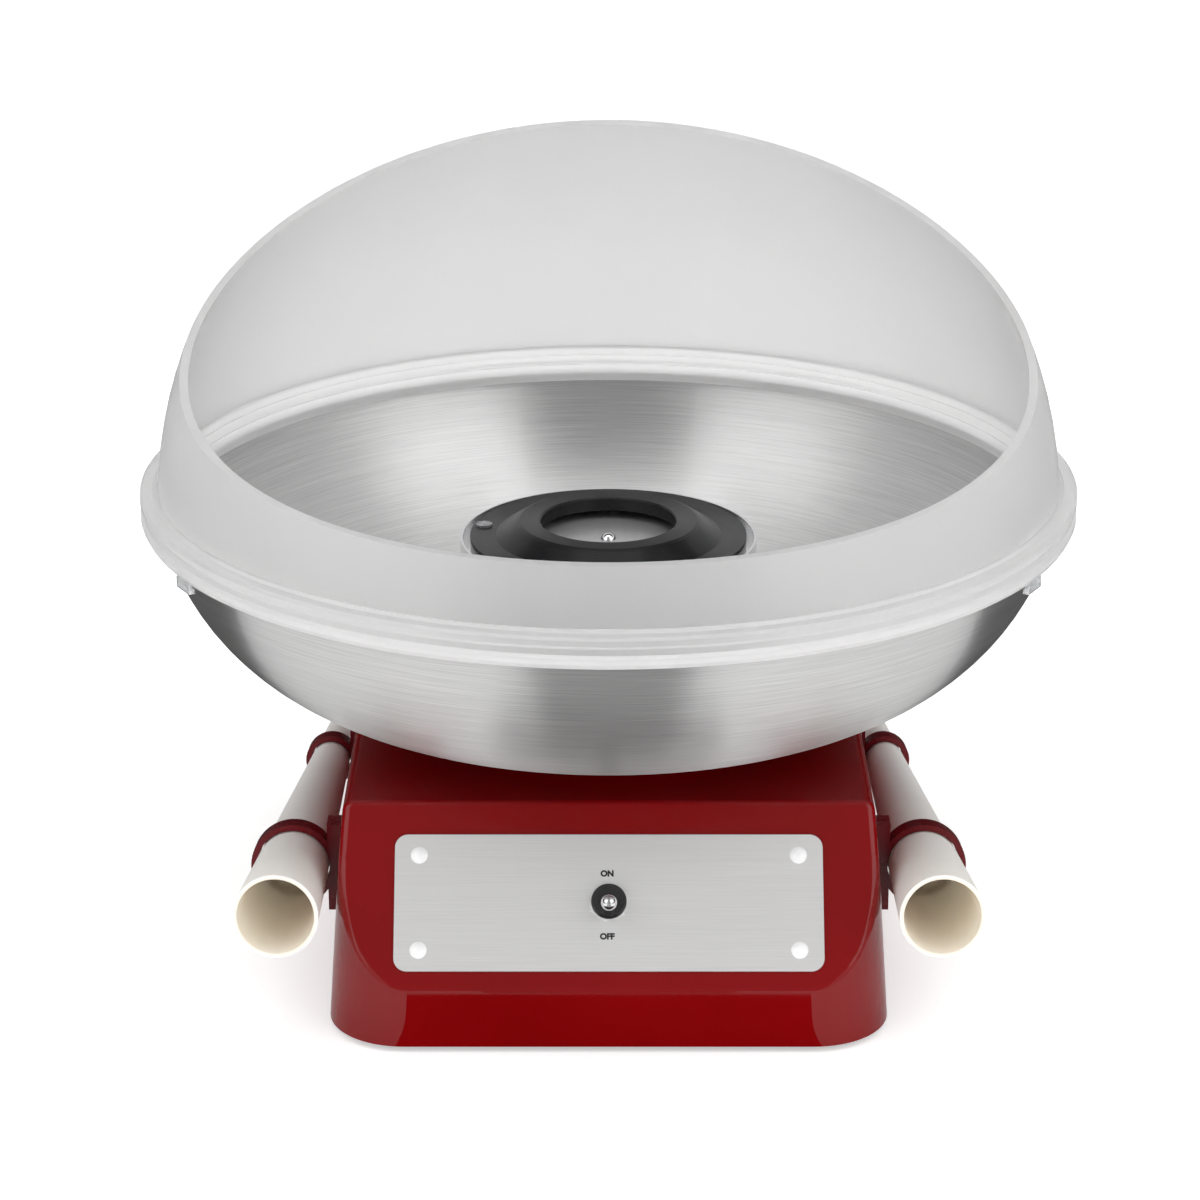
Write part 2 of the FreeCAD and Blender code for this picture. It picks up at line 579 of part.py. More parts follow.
def heaterPan():
    rim, inside = f"{panFloor} + panRim", f"{panRadius} - panThick"
    pan = turned("PanTurned", [
        ("panHole", panFloor), (panRadius, panFloor), (panRadius, rim), (inside, rim),
        (inside, f"{panFloor} + panThick"), ("panHole", f"{panFloor} + panThick")])
    holes = elementLegs("LegHole", "legRadius + assemblyGap", "panThick * 3", f"{panFloor} - panThick")
    node("heater_pan", cut("HeaterPan", pan, *holes))


def heaterElement():
    middle = f"({panFloor} + panThick + elementTube + assemblyGap)"
    coil = doc.addObject("Part::Torus", "ElementRing")
    place(bind(coil, Radius1=elementCircle, Radius2="elementTube"), z=middle)
    legs = elementLegs("ElementLeg", "legRadius", f"{middle} - {panFloor} + legDrop", f"{panFloor} - legDrop")
    node("heater_element", fuse("HeaterElement", coil, *legs))


def heaterFittings():
    spots = circleSpots(f"{panRadius} - insulatorInset", insulatorCount, "insulatorAngle")
    posts = drill("Insulator", spots, "insulatorRadius", f"{panFloor} - {roofUnder}", roofUnder)
    node("heater_insulators", group("HeaterInsulators", *posts))
    node("thermal_fuse", cylinder("ThermalFuse", "fuseRadius", "fuseLength", "0 - fuseLength / 2",
                                  "0 - fuseY", f"{panFloor} - fuseRadius - runFit", "90", (0, 1, 0)))


def motorCase():
    bore, inside = "(bearingRadius + runFit)", "canRadius - canWall"
    canFloor = f"({canTop} - canWall)"
    can = turned("Can", [
        (bore, canFloor), (inside, canFloor), (inside, canBottom), ("canRadius", canBottom),
        ("canRadius", canTop), (bore, canTop)])
    node("motor_can", can)
    node("motor_magnet", ring("Magnet", magnetInside, f"{inside} - runFit", f"{canBottom} + magnetEnd",
                              f"{canFloor} - magnetEnd"))
    node("motor_end_cap", ring("EndCap", bore, "canRadius", capBottom, canBottom))
    bearings = [ring(name, "shaftRadius + runFit", "bearingRadius", low, f"{low} + bearingLength")
                for name, low in (("LowerBearing", capBottom), ("UpperBearing", canFloor))]
    node("motor_bearings", group("MotorBearings", *bearings))
    node("motor_armature", ring("Armature", "shaftRadius", armatureRadius, f"{canBottom} + armatureEnd",
                                f"{canFloor} - armatureEnd"))


def motorMount():
    plate = ring("MountPlateBlank", "bearingRadius + runFit",
                 f"{mountScrewCircle} + isolatorRadius + mountEdge", canTop, mountTop)
    holes = drill("MountHole", mountSpots, "screwRadius + runFit", "mountThick * 3", f"{canTop} - mountThick")
    node("motor_mount_plate", cut("MountPlate", plate, *holes))
    rubbers = [place(ring(f"Isolator{i}", "screwRadius + runFit", "isolatorRadius", mountTop, towerUnder), x, y)
               for i, (x, y) in enumerate(mountSpots)]
    node("motor_isolators", group("MotorIsolators", *rubbers))


def terminalBlock():
    node("terminal_block", block("TerminalBlock", "terminalLength", "terminalWidth", "terminalHeight",
                                 "0 - terminalX", "baseRear - terminalInset", coverTop))


def cordGland():
    """Bushed cord outlet through the rear wall."""
    def alongY(name, radius, length, rear):
        return cylinder(name, radius, length, "0", rear, "skirtLift + glandHigh", "90", (1, 0, 0))

    length = "(glandOut + glandIn)"
    tube = alongY("GlandTube", "glandRadius", length, "baseRear + glandOut")
    collar = alongY("GlandCollar", "glandFlange", "glandOut", "baseRear + glandOut / 2")
    bore = alongY("GlandBore", "glandBore", f"{length} * 2", "baseRear + glandOut * 2")
    seated = cut("GlandCollarSeated", collar, doc.getObject("HousingOuter"))
    node("cord_gland", cut("CordGland", fuse("GlandSolid", tube, seated), bore))


def crossRod(name, length):
    """Rod along X through the shaft, low in the hub."""
    return cylinder(name, "crossPin", length, f"0 - ({length}) / 2", "0",
                    f"{hubBottom} + crossPin + assemblyGap * 2", "90", (0, 1, 0))


def driveShaft():
    rod = cylinder("ShaftRod", "shaftRadius", f"{boreTop} - assemblyGap - {fanBottom}", z=fanBottom)
    node("drive_shaft", cut("DriveShaft", rod, crossRod("ShaftCrossHole", "shaftRadius * 4")))
    node("drive_pin", crossRod("DrivePin", crossPinLength))


def coolingFan():
    hub = ring("FanCentre", "shaftRadius", "fanHub", fanBottom, fanTop)
    disc = ring("FanDisc", "fanHub - fanWeb", "fanRadius", f"{fanTop} - fanWeb", fanTop)
    blades = []
    for i in range(bladeCount):
        blade = block(f"FanBlade{i}", "fanRadius - fanHub + fanWeb", "fanWeb", "fanThick",
                      "(fanRadius + fanHub - fanWeb) / 2", "0", fanBottom)
        blades.append(place(group(f"FanBladeTurned{i}", blade), turn=str(360 * i / bladeCount)))
    node("cooling_fan", fuse("CoolingFan", hub, disc, *blades))


def headDish():
    """Dish that turns the sugar out, with a hub that is closed above the shaft."""
    bore, shank = "(shaftRadius + runFit)", "(capShank + runFit)"
    inside, cupTop = f"{dishRadius} - dishWall", f"{dishCup} + dishFlare"
    dish = turned("DishTurned", [
        (bore, hubBottom), ("hubRadius", hubBottom), ("hubRadius", dishBottom), (dishCup, dishBottom),
        (cupTop, f"{dishShoulder} - dishWall"), (dishRadius, f"{dishShoulder} - dishWall"),
        (dishRadius, dishRim), (inside, dishRim), (inside, dishShoulder),
        (f"{cupTop} - dishWall", dishShoulder), (f"{dishCup} - dishWall", f"{dishBottom} + dishWall"),
        ("hubRadius", f"{dishBottom} + dishWall"), ("hubRadius", hubTop), (shank, hubTop),
        (shank, boreTop), (bore, boreTop)])
    slot = block("HubSlot", f"{crossPinLength} + assemblyGap * 2", "crossPin * 2 + assemblyGap * 2",
                 "crossPin * 2 + assemblyGap * 4", z=f"{hubBottom} - assemblyGap")
    holes = drill("DishPinHole", pinSpots, "pinNeck + runFit", "dishWall * 4", f"{dishShoulder} - dishWall * 3")
    node("extractor_dish", cut("ExtractorDish", dish, slot, *holes))


def headCover():
    low = f"({domeTop} - mouthDepth)"
    skin = turned("CoverTurned", [
        (coverFlange, screenTop), (coverFlange, flangeFace), (domeFoot, flangeFace),
        (f"{domeCrown} + skinThick", f"{domeTop} - skinBevel"), (domeCrown, domeTop),
        (f"{mouthRadius} + skinBevel", domeTop), (mouthRadius, f"{domeTop} - skinBevel"), (mouthRadius, low),
        (f"{mouthRadius} + skinThick", low), (f"{mouthRadius} + skinThick", f"{domeTop} - skinThick"),
        (domeCrown, f"{domeTop} - skinThick"), (f"{domeFoot} - skinThick", screenTop)])
    holes = drill("CoverPinHole", pinSpots, "pinRadius + runFit", "skinThick * 3", f"{screenTop} - skinThick")
    node("extractor_cover", cut("HeadCover", skin, *holes))
    node("extractor_screen", ring("Screen", f"{coverFlange} - screenThick", coverFlange, dishShoulder, screenTop))


def headPins():
    """Stepped stud that keys the cover to the dish."""
    low, high = f"{dishShoulder} - dishWall * 2", f"{flangeFace} + pinStand"
    studs = []
    for i, (x, y) in enumerate(pinSpots):
        stud = turned(f"Stud{i}", [
            ("0", low), ("pinNeck", low), ("pinNeck", dishShoulder), ("pinRadius", dishShoulder),
            ("pinRadius", high), ("0", high)])
        studs.append(place(stud, x, y))
    node("head_pins", group("HeadPins", *studs))


def sugarWell():
    """Shallow domed floor on the hub, held by a cap nut with a short shank."""
    bore = "(capShank + runFit)"
    _, _, middleX, middleZ = capArc(f"({wellTop} - wellRise)", wellRadius, "wellRise")
    ball = f"(({wellRadius} ^ 2 + wellRise ^ 2) / 2 / wellRise)"
    well = turned("Well", [
        (bore, hubTop), (wellRadius, hubTop), (wellRadius, f"{wellTop} - wellRise"),
        (bore, f"{wellTop} - {ball} + sqrt({ball} ^ 2 - {bore} ^ 2)", middleX, middleZ)])
    node("sugar_well", well)
    nutSide = f"({wellTop} + capNutHeight - capNutDome)"
    nut = turned("CapNut", [
        ("0", boreTop), ("capShank", boreTop), ("capShank", wellTop), ("capNutRadius", wellTop),
        ("capNutRadius", nutSide), capArc(nutSide, "capNutRadius", "capNutDome")])
    node("head_cap_nut", nut)


def bowlWallPoint(out, rise, angle, deep):
    """Point of the bowl's wall, moved inwards from its outside along a stated direction."""
    return f"{out} - {deep} * cos({angle})", f"{bowlBottom} + {rise} + {deep} * sin({angle})"


def bowl():
    """Spun bowl with a rolled rim, and a collar round its hole."""
    def point(name, deep):
        out = {"low": f"{bowlFlat} + lowOut", "knee": "bowlRim - kneeIn", "side": "bowlRim - sideIn"}[name]
        return bowlWallPoint(out, name + "Rise", name + "Angle", deep)

    floorTop, collarTop = f"{bowlBottom} + bowlWall", f"{bowlBottom} + collarHeight"
    lipUnder, bead = f"{bowlTop} - bowlWall", "bowlRim + beadOut"
    wall = turned("BowlWall", [
        (bowlHole, bowlBottom), (bowlFlat, bowlBottom), (*point("knee", "0"), *point("low", "0")),
        ("bowlRim", lipUnder, *point("side", "0")), (bead, lipUnder), (bead, bowlTop),
        ("bowlRim - bowlWall", bowlTop), (*point("knee", "bowlWall"), *point("side", "bowlWall")),
        (bowlFlat, floorTop, *point("low", "bowlWall")), (f"{bowlHole} + bowlWall", floorTop),
        (f"{bowlHole} + bowlWall", collarTop), (bowlHole, collarTop)])
    roll = doc.addObject("Part::Torus", "BowlBead")
    place(bind(roll, Radius1=bead, Radius2="beadRadius"), z=f"{bowlTop} - bowlWall / 2")
    node("bowl", fuse("Bowl", wall, roll))


def shieldFlange():
    """Stepped flange that caps the bowl's rim, with a spigot inside it."""
    spigot = "(bowlRim - bowlWall - liftGap)"
    inside = f"({spigot} - spigotWall)"
    ledge = f"({beadTop} + slideGap)"
    out, back = flangeRadius, f"{flangeRadius} - flangeStep"
    skin = f"sqrt({shieldRadius} ^ 2 - flangeRise ^ 2)"
    low = f"{flangeBottom} + grooveLow"
    inTop = f"{flangeTop} + flangeStep"
    return turned("Flange", [
        (inside, f"{bowlTop} - spigotDrop"), (spigot, f"{bowlTop} - spigotDrop"), (spigot, ledge),
        (f"{out} - flangeWall", ledge), (f"{out} - flangeWall", flangeBottom), (back, flangeBottom),
        (out, f"{flangeBottom} + flangeLip"), (out, low), (back, f"{low} + grooveBevel"),
        (back, f"{low} + grooveBevel + grooveWide"), (out, f"{low} + grooveBevel * 2 + grooveWide"),
        (out, f"{flangeTop} - flangeStep * 2"), (back, f"{flangeTop} - flangeStep"),
        (f"{skin} + flangeStep * 2", f"{flangeTop} - flangeStep"), (f"{skin} + flangeStep", flangeTop),
        (f"{skin} - shieldWall / 2", flangeTop), (f"{skin} - shieldWall / 2", inTop),
        (f"{inside} + innerLedge * 2", inTop), (f"{inside} + innerLedge * 2", f"{inTop} - ledgeHigh"),
        (f"{inside} + innerLedge", f"{inTop} - ledgeHigh"), (f"{inside} + innerLedge", f"{inTop} - ledgeHigh * 2"),
        (inside, f"{inTop} - ledgeHigh * 2")])


def shield():
    """Part of a hollow ball, cut away in front along an arc seen from the side."""
    def sphere(name, radius):
        return place(bind(doc.addObject("Part::Sphere", name), Radius=radius), z=bowlTop)

    def edge(angle):
        return f"{shieldRadius} * cos({angle})", f"({bowlTop} + {shieldRadius} * sin({angle}))"

    shell = cut("ShieldBall", sphere("ShieldOutside", shieldRadius),
                sphere("ShieldInside", f"{shieldRadius} - shieldWall"))
    frontY, frontZ = edge("edgeFrontAngle")
    rearY, rearZ = edge("edgeRearAngle")
    low = f"{flangeTop} - flangeStep"
    kept, _ = padded("ShieldKept", [
        (f"0 - {flangeRadius}", low), (flangeRadius, low), (flangeRadius, rearZ), (rearY, rearZ),
        (f"0 - {frontY}", frontZ, "0", edge("edgeSideAngle")[1]), (f"0 - {flangeRadius}", frontZ)],
        f"{flangeRadius} * 2", "YZ_Plane", True)
    node("shield", fuse("Shield", common("ShieldShell", shell, kept), shieldFlange()))


def shieldClips():
    """Spring clips under the flange, just outside the bowl's rim."""
    inner = f"({flangeRadius} - flangeWall)"
    outer = f"({inner} + clipThick)"
    low = f"{flangeBottom} - clipDrop"
    hoop = turned("ClipHoop", [
        (inner, flangeBottom), (inner, f"{low} + clipThick"), (f"{inner} - clipNub", f"{low} + clipThick"),
        (f"{inner} - clipNub", low), (outer, low), (outer, flangeBottom)])
    spans = []
    for i in range(clipCount):
        span = block(f"ClipSpan{i}", flangeRadius, "clipWidth", "clipDrop * 3", flangeRadius, "0",
                     f"{low} - clipDrop")
        spans.append(place(group(f"ClipSpanTurned{i}", span), turn=f"{360 * i / clipCount} - clipAngle"))
    node("shield_clips", common("ShieldClips", hoop, group("ClipSpans", *spans)))


def inConeFrame(thing, side):
    """Carry a piece drawn along +Z from the mouth onto one cone's axis."""
    tipped = place(group(thing.Name + "Tipped", thing), turn="0 - 90 - coneAngle", axis=(1, 0, 0))
    mouthY = f"0 - {coneFront}"
    return place(group(thing.Name + "Placed", tipped), f"{side} * {coneAxisX(mouthY)}", mouthY,
                 coneAxisZ(mouthY), f"{side} * coneToeAngle")


def candyCone(name, side):
    floor = "coneLength - coneWall * 2"
    cone = turned(name + "Turned", [
        ("coneMouth - coneWall", "0"), ("coneMouth", "0"), ("coneTail", "coneLength"), ("0", "coneLength"),
        ("0", floor), ("coneTail - coneWall", floor)])
    node(name, inConeFrame(cone, side))


def coneHolder(name, side, ringY, armHigh):
    """Ring round the cone on a pad that seats on the housing's side, with two pegs."""
    along = f"(({coneFront} + {ringY}) / cos(coneAngle))"
    around = f"({coneRadius(along)} + slideGap + ringWall)"
    front, back = f"({along} - ringLength / 2)", f"({along} + ringLength / 2)"
    hoop = turned(name + "Hoop", [("0", front), (around, front), (around, back), ("0", back)])
    bore = turned(name + "Bore", [
        ("0", "0"), (f"{coneRadius('0')} + slideGap", "0"),
        (f"{coneRadius('coneLength')} + slideGap", "coneLength"), ("0", "coneLength")])
    height = coneAxisZ(ringY)
    pad = block(name + "Pad", "armThick * 3", "armWidth", armHigh, f"{side} * ({wallX(height)} - armThick / 2)",
                ringY, f"{height} - {armHigh} / 2")
    solid = cut(name + "Seated", fuse(name + "Solid", inConeFrame(hoop, side), pad),
                inConeFrame(bore, side), doc.getObject("HousingOuter"))
    pegs = []
    for i, shift in enumerate((1, -1)):
        z = f"({height} + pegPitch / 2 * {shift})"
        length = "(pegLength + armThick / 2)"
        inner = f"({wallX(z)} - pegLength)"
        start = inner if side == 1 else f"0 - {inner} - {length}"
        pegs.append(cylinder(f"{name}Peg{i}", "pegRadius", length, start, ringY, z, "90", (0, 1, 0)))
    node(name, fuse(name + "Whole", solid, *pegs))


def pushNuts():
    """Spring washers that grip the holders' pegs inside the housing."""
    nuts = []
    for i, (y, z) in enumerate(pegSpots):
        face = f"({wallX(z)} - baseWall - edgeGap)"
        for word, start in (("Right", f"{face} - pushNutThick"), ("Left", f"0 - {face}")):
            washer = ring(f"PushNut{i}{word}", "pegRadius + runFit", "pushNutRadius", "0", "pushNutThick")
            nuts.append(place(washer, start, y, z, "90", (0, 1, 0)))
    node("holder_push_nuts", group("PushNuts", *nuts))


def buildAll():
    baseHousing(housingBlock("HousingOuter", "0"))
    bottomCover()
    rubberFeet()
    screwSet("bottom_cover_screws", postSpots, "footHeight", "screwLength")
    controlPlate()
    platePins()
    toggleSwitch()
    switchLever()
    heaterHousing()
    heaterPan()
    heaterElement()
    heaterFittings()
    motorCase()
    motorMount()
    screwSet("motor_screws", mountSpots, canTop, "mountScrewLength")
    screwSet("tower_screws", towerSpots, towerUnder, "screwLength")
    terminalBlock()
    cordGland()
    driveShaft()
    coolingFan()
    headDish()
    headCover()
    headPins()
    sugarWell()
    bowl()
    shield()
    shieldClips()
    for word, side in (("right", 1), ("left", -1)):
        candyCone(f"{word}_cone", side)
        coneHolder(f"{word}_front_holder", side, ringFrontY, "armFrontHigh")
        coneHolder(f"{word}_rear_holder", side, ringRearY, "armRearHigh")
    pushNuts()
    doc.recompute()


def checkAll():
    for thing in doc.Objects:
        if {"Invalid", "Error"} & set(thing.State):
            raise RuntimeError(f"{thing.Name} did not compute: {thing.State}")
    for name, thing in nodes.items():
        if thing.Shape.isNull() or not thing.Shape.isValid() or thing.Shape.Volume <= 0:
            raise RuntimeError(f"{name} has no sound shape")


buildAll()
checkAll()
os.makedirs("parts", exist_ok=True)
for name, thing in nodes.items():
    thing.Shape.exportStep(f"parts/{name}.step")
    bounds = thing.Shape.BoundBox
    print(f"{name}: {len(thing.Shape.Solids)} solids, {thing.Shape.Volume / 1000:.2f} cm3,"
          f" z {bounds.ZMin:.2f} to {bounds.ZMax:.2f}")
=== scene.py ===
import bpy
import bmesh
from math import radians, sin, tan
from mathutils import Matrix, Vector


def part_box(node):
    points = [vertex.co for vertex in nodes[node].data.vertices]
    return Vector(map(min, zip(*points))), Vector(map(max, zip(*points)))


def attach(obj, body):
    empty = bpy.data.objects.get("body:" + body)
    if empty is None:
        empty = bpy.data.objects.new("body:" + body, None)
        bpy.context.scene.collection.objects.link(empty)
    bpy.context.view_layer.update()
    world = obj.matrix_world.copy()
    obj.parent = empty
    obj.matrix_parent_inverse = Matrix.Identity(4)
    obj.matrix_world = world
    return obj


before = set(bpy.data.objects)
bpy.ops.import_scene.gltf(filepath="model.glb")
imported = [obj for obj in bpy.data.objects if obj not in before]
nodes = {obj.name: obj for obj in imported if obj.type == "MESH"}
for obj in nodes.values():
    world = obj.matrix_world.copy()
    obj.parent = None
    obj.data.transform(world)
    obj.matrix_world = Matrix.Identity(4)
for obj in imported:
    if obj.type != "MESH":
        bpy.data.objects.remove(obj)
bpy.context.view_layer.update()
print("frame loaded:", len(nodes), "nodes")


# camera
view = {"place": (-0.0027, -1.074, 0.501), "tilt": 69.7, "lens": 105.9, "sensor": 36}
camera = bpy.data.objects.new("camera", bpy.data.cameras.new("camera"))
camera.data.lens = view["lens"]
camera.data.sensor_width = view["sensor"]
camera.location = view["place"]
camera.rotation_euler = (radians(view["tilt"]), 0, 0)
scene = bpy.context.scene
scene.collection.objects.link(camera)
scene.camera = camera
scene.view_settings.view_transform = "Standard"


# small helpers for shader trees: how noise is spread over shades and gloss, and the mix node's own sockets
noiseRange = {"low": 0.3, "high": 0.7}
mixSockets = {"factor": 0, "first": 6, "second": 7, "result": 2}


def place(tree, kind, values=None, **settings):
    node = tree.nodes.new("ShaderNode" + kind)
    for setting, value in settings.items():
        setattr(node, setting, value)
    for socket, value in (values or {}).items():
        node.inputs[socket].default_value = value
    return node


def newFinish(name, sockets):
    material = bpy.data.materials.new(name)
    material.use_nodes = True
    tree = material.node_tree
    shader = tree.nodes["Principled BSDF"]
    for socket, value in sockets.items():
        shader.inputs[socket].default_value = value
    return material, tree, shader


def sums(tree, operation, first, second):
    node = place(tree, "Math", operation=operation)
    for socket, value in zip(node.inputs, (first, second)):
        if isinstance(value, (int, float)):
            socket.default_value = value
        else:
            tree.links.new(value, socket)
    return node.outputs[0]


def ramp(tree, factor, *stops):
    node = place(tree, "ValToRGB")
    band = node.color_ramp.elements
    band[0].position, band[0].color = stops[0][0], (*stops[0][1], 1)
    band[1].position, band[1].color = stops[-1][0], (*stops[-1][1], 1)
    for position, colour in stops[1:-1]:
        band.new(position).color = (*colour, 1)
    tree.links.new(factor, node.inputs[0])
    return node.outputs[0]


def objectPoint(tree, cell=(1, 1, 1), centre=(0, 0, 0), turn=(0, 0, 0)):
    coord = place(tree, "TexCoord")
    values = {"Location": centre, "Rotation": turn, "Scale": cell}
    mapping = place(tree, "Mapping", values, vector_type="TEXTURE")
    tree.links.new(coord.outputs["Object"], mapping.inputs[0])
    return mapping.outputs[0]


def ringPoint(tree, line, sweep):
    point = objectPoint(tree)
    flat = place(tree, "VectorMath", {1: (1, 1, 0)}, operation="MULTIPLY")
    tree.links.new(point, flat.inputs[0])
    radius = place(tree, "VectorMath", operation="LENGTH")
    around = place(tree, "VectorMath", operation="NORMALIZE")
    tree.links.new(flat.outputs[0], radius.inputs[0])
    tree.links.new(flat.outputs[0], around.inputs[0])
    height = place(tree, "SeparateXYZ")
    bearing = place(tree, "SeparateXYZ")
    tree.links.new(point, height.inputs[0])
    tree.links.new(around.outputs[0], bearing.inputs[0])
    along = sums(tree, "ADD", radius.outputs["Value"], height.outputs["Z"])
    ring = place(tree, "CombineXYZ")
    tree.links.new(sums(tree, "DIVIDE", along, line), ring.inputs[0])
    tree.links.new(sums(tree, "MULTIPLY", bearing.outputs[0], sweep), ring.inputs[1])
    tree.links.new(sums(tree, "MULTIPLY", bearing.outputs[1], sweep), ring.inputs[2])
    return ring.outputs[0]


def noise(tree, point, detail=2, rough=0.5):
    node = place(tree, "TexNoise", {"Scale": 1, "Detail": detail, "Roughness": rough})
    tree.links.new(point, node.inputs["Vector"])
    return node.outputs["Fac"]


def shades(tree, factor, deep, pale):
    return ramp(tree, factor, (noiseRange["low"], deep), (noiseRange["high"], pale))


def roughen(tree, shader, factor, low, high):
    span = place(tree, "MapRange", {"From Min": noiseRange["low"], "From Max": noiseRange["high"],
                                    "To Min": low, "To Max": high})
    tree.links.new(factor, span.inputs[0])
    tree.links.new(span.outputs[0], shader.inputs["Roughness"])


def emboss(tree, shader, height, depth):
    bump = place(tree, "Bump", {"Strength": 1, "Distance": depth})
    tree.links.new(height, bump.inputs["Height"])
    tree.links.new(bump.outputs[0], shader.inputs["Normal"])


def paint(finish, *names):
    for name in names:
        for slot in nodes[name].material_slots:
            slot.material = finish


# moulded and painted finishes: a slow change of shade, a fine skin and uneven gloss
mouldings = {
    "glossRed": {
        "pale": (0.21, 0.0003, 0.0014), "deep": (0.18, 0.0002, 0.0009),
        "drift": 0.05, "skin": 0.0011, "depth": 0.000002, "gloss": (0.04, 0.07),
        "sockets": {"Specular IOR Level": 0.4},
        "on": ["base_housing"]},
    "deepRed": {
        "pale": (0.13, 0.001, 0.005), "deep": (0.095, 0.0006, 0.003),
        "drift": 0.03, "skin": 0.0009, "depth": 0.000015, "gloss": (0.22, 0.32),
        "sockets": {"Specular IOR Level": 0.3},
        "on": ["right_front_holder", "right_rear_holder", "left_front_holder", "left_rear_holder"]},
    "heatBlack": {
        "pale": (0.02, 0.019, 0.018), "deep": (0.011, 0.011, 0.011),
        "drift": 0.02, "skin": 0.0008, "depth": 0.00005, "gloss": (0.5, 0.66), "sockets": {},
        "on": ["heater_housing", "bottom_cover", "motor_end_cap", "cooling_fan"]},
    "switchBlack": {
        "pale": (0.022, 0.022, 0.023), "deep": (0.013, 0.013, 0.014),
        "drift": 0.006, "skin": 0.0004, "depth": 0.00001, "gloss": (0.24, 0.36), "sockets": {},
        "on": ["switch_body", "switch_bushing", "switch_ring_nut"]},
    "rubberBlack": {
        "pale": (0.026, 0.026, 0.026), "deep": (0.014, 0.014, 0.014),
        "drift": 0.008, "skin": 0.0005, "depth": 0.00006, "gloss": (0.62, 0.8), "sockets": {},
        "on": ["rubber_feet", "motor_isolators", "cord_gland"]},
    "ferriteGrey": {
        "pale": (0.06, 0.058, 0.056), "deep": (0.03, 0.03, 0.03),
        "drift": 0.01, "skin": 0.0006, "depth": 0.00008, "gloss": (0.5, 0.7), "sockets": {"Metallic": 0.4},
        "on": ["motor_magnet", "motor_armature"]},
    "ceramicWhite": {
        "pale": (0.78, 0.76, 0.7), "deep": (0.68, 0.66, 0.6),
        "drift": 0.008, "skin": 0.0004, "depth": 0.00004, "gloss": (0.4, 0.55), "sockets": {},
        "on": ["heater_insulators", "thermal_fuse", "terminal_block"]},
    "pinWhite": {
        "pale": (0.9, 0.9, 0.9), "deep": (0.84, 0.84, 0.84),
        "drift": 0.004, "skin": 0.0003, "depth": 0.000005, "gloss": (0.12, 0.2), "sockets": {},
        "on": ["plate_pins"]},
    "pinGrey": {
        "pale": (0.33, 0.33, 0.34), "deep": (0.24, 0.24, 0.25),
        "drift": 0.003, "skin": 0.0003, "depth": 0.00001, "gloss": (0.22, 0.34), "sockets": {"Metallic": 0.5},
        "on": ["head_pins"]},
}
for name, look in mouldings.items():
    finish, tree, shader = newFinish(name, look["sockets"])
    broad = noise(tree, objectPoint(tree, (look["drift"],) * 3), detail=3)
    fine = noise(tree, objectPoint(tree, (look["skin"],) * 3), detail=2)
    tree.links.new(shades(tree, broad, look["deep"], look["pale"]), shader.inputs["Base Color"])
    roughen(tree, shader, broad, *look["gloss"])
    emboss(tree, shader, fine, look["depth"])
    paint(finish, *look["on"])
print("moulded finishes done")


# turned and plated metals: rings in the shade, gloss and skin
metals = {
    "bowlSteel": {
        "pale": (0.76, 0.76, 0.755), "deep": (0.56, 0.56, 0.56),
        "line": 0.0004, "sweep": 4, "depth": 0.000008, "gloss": (0.32, 0.4),
        "sockets": {"Metallic": 0.92, "Anisotropic": 0.95}, "spread": 0.25,
        "on": ["bowl"]},
    "spunAluminium": {
        "pale": (0.82, 0.82, 0.83), "deep": (0.75, 0.75, 0.76),
        "line": 0.0003, "sweep": 6, "depth": 0.000003, "gloss": (0.18, 0.26),
        "sockets": {"Metallic": 1, "Anisotropic": 0.5}, "spread": 0.25,
        "on": ["extractor_dish", "extractor_screen", "heater_pan"]},
    "satinBlack": {
        "pale": (0.011, 0.011, 0.012), "deep": (0.006, 0.006, 0.007),
        "line": 0.0005, "sweep": 3, "depth": 0.000002, "gloss": (0.32, 0.38),
        "sockets": {"Anisotropic": 0.9, "Specular IOR Level": 0.24}, "spread": 0.25,
        "on": ["extractor_cover"]},
    "brightChrome": {
        "pale": (0.86, 0.86, 0.87), "deep": (0.78, 0.78, 0.79),
        "line": 0.0012, "sweep": 3, "depth": 0.000002, "gloss": (0.05, 0.1),
        "sockets": {"Metallic": 1},
        "on": ["switch_lever", "head_cap_nut"]},
    "paleNickel": {
        "pale": (0.96, 0.96, 0.96), "deep": (0.9, 0.9, 0.9),
        "line": 0.0004, "sweep": 4, "depth": 0.000003, "gloss": (0.2, 0.28),
        "sockets": {"Metallic": 0.3},
        "on": ["switch_lock_nut"]},
    "wellSteel": {
        "pale": (0.62, 0.62, 0.62), "deep": (0.52, 0.52, 0.52),
        "line": 0.0004, "sweep": 4, "depth": 0.000001, "gloss": (0.3, 0.36),
        "sockets": {"Metallic": 0.75},
        "on": ["sugar_well"]},
    "zincPlate": {
        "pale": (0.62, 0.62, 0.61), "deep": (0.47, 0.47, 0.46),
        "line": 0.0006, "sweep": 4, "depth": 0.000008, "gloss": (0.26, 0.42),
        "sockets": {"Metallic": 1},
        "on": ["bottom_cover_screws", "switch_pivot_pin", "heater_element", "motor_can",
               "motor_mount_plate", "motor_screws", "tower_screws", "drive_shaft", "drive_pin",
               "holder_push_nuts"]},
    "porousBronze": {
        "pale": (0.5, 0.33, 0.13), "deep": (0.34, 0.2, 0.08),
        "line": 0.0004, "sweep": 7, "depth": 0.00002, "gloss": (0.36, 0.52),
        "sockets": {"Metallic": 1},
        "on": ["motor_bearings"]},
}
